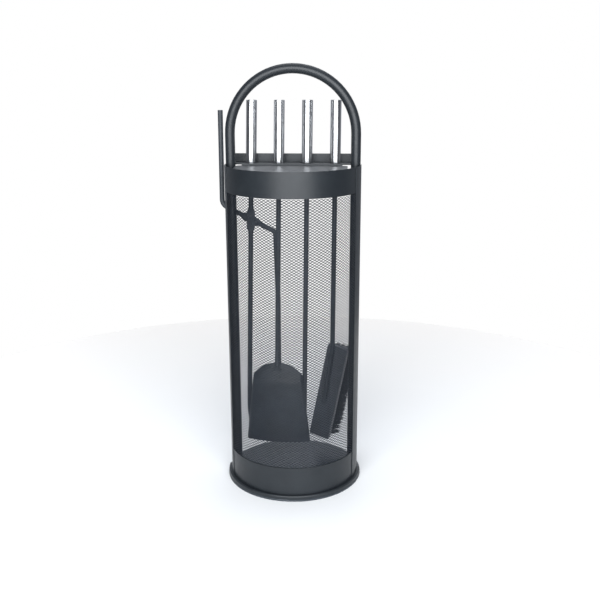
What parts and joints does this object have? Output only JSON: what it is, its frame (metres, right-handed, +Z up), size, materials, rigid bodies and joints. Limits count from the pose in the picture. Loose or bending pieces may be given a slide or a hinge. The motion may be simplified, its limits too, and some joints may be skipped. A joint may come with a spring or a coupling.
{
  "type": "fireplace tool set",
  "caption": "Fireplace tool set: tongs, shovel, poker and brush with steel handles, hung in a round-based stand with a half-round mesh wall and a carrying arch.",
  "frame": {"origin": "centre of the base disc's underside, on the floor", "axes": "+Z up along the stand; -Y towards the mesh wall at the front; +X to the right as seen from the front"},
  "size_m": [0.2292, 0.22, 0.66],
  "materials": {
    "stand_coating": "semi-gloss black powder coat on sheet steel and tube",
    "tool_coating": "satin black powder coat on steel rod and sheet",
    "handle_steel": "polished stainless steel tube",
    "handle_plug": "moulded black plastic",
    "brush_block": "moulded black plastic, fine satin grain",
    "bristles": "black synthetic bristle"
  },
  "bodies": {
    "stand": {"base_plate": "stand_coating", "base_rim": "stand_coating", "frame_tube": "stand_coating", "lower_band": "stand_coating", "mesh_panel": "stand_coating", "upper_band": "stand_coating", "side_strip_left": "stand_coating", "side_strip_right": "stand_coating", "top_plate": "stand_coating", "tool_rail": "stand_coating"},
    "tongs": {"tongs_handle": "handle_steel", "tongs_handle_cap": "handle_steel", "tongs_handle_plug": "handle_plug", "tongs_fixed_arm": "tool_coating", "tongs_pivot": "tool_coating"},
    "tongs_arm": {"tongs_moving_arm": "tool_coating"},
    "shovel": {"shovel_handle": "handle_steel", "shovel_handle_cap": "handle_steel", "shovel_handle_plug": "handle_plug", "shovel_shaft": "tool_coating", "shovel_rivets": "tool_coating", "shovel_pan": "tool_coating"},
    "poker": {"poker_handle": "handle_steel", "poker_handle_cap": "handle_steel", "poker_handle_plug": "handle_plug", "poker_shaft": "tool_coating", "poker_hook": "tool_coating"},
    "brush": {"brush_handle": "handle_steel", "brush_handle_cap": "handle_steel", "brush_handle_plug": "handle_plug", "brush_shaft": "tool_coating", "brush_rivets": "tool_coating", "brush_block": "brush_block", "brush_bristles": "bristles"}
  },
  "joints": [
    {"name": "tongs_lift", "type": "slide", "parent": "stand", "child": "tongs", "axis": [0.0237, 0.3489, 0.9368], "range_m": [0, 0.15]},
    {"name": "tongs_pivot_turn", "type": "hinge", "parent": "tongs", "child": "tongs_arm", "pos_m": [-0.0696, 0.0256, 0.42103], "axis": [0, 1, 0], "range_deg": [-6, 5.5]},
    {"name": "shovel_lift", "type": "slide", "parent": "stand", "child": "shovel", "axis": [0.0175, 0, 0.9998], "range_m": [0, 0.15]},
    {"name": "poker_lift", "type": "slide", "parent": "stand", "child": "poker", "axis": [0.0106, 0.3489, 0.9371], "range_m": [0, 0.15]},
    {"name": "brush_lift", "type": "slide", "parent": "stand", "child": "brush", "axis": [0.0065, 0.3489, 0.9371], "range_m": [0, 0.15]}
  ]
}
